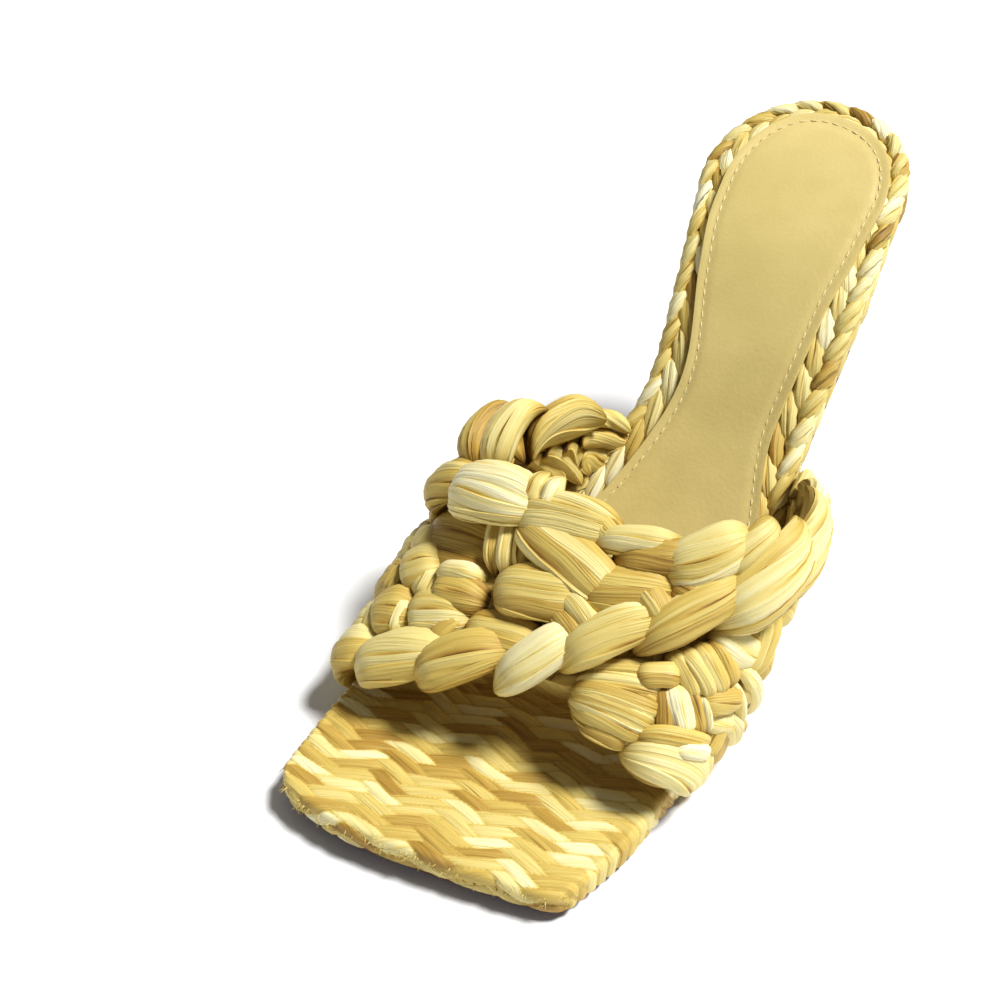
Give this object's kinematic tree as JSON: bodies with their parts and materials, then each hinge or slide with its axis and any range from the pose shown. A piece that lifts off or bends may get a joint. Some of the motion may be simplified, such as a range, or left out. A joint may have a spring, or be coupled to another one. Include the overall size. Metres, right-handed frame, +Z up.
{
  "type": "raffia mule",
  "caption": "Left heeled mule: plaited raffia upper of two crossing bands, square open toe, raffia-wrapped footbed, leather insole and slim covered heel.",
  "frame": {"origin": "on the floor, under the middle of the whole shoe's box", "axes": "+Z up, toe towards -Y and heel towards +Y, outer (lateral) side towards +X"},
  "size_m": [0.1044, 0.213, 0.1039],
  "materials": {
    "raffia_plait": "dry plaited raffia with a soft sheen",
    "raffia_wrap": "flat plaited raffia strips, satin",
    "insole_leather": "smooth matte lining leather",
    "outsole_leather": "dyed sole leather",
    "heel_leather": "smooth leather covering, satin",
    "tip_rubber": "hard matte rubber"
  },
  "bodies": {
    "root": {"outsole": "outsole_leather", "footbed": "raffia_wrap", "insole": "insole_leather", "upper": "raffia_plait", "heel": "heel_leather", "heel_tip": "tip_rubber"}
  },
  "joints": []
}
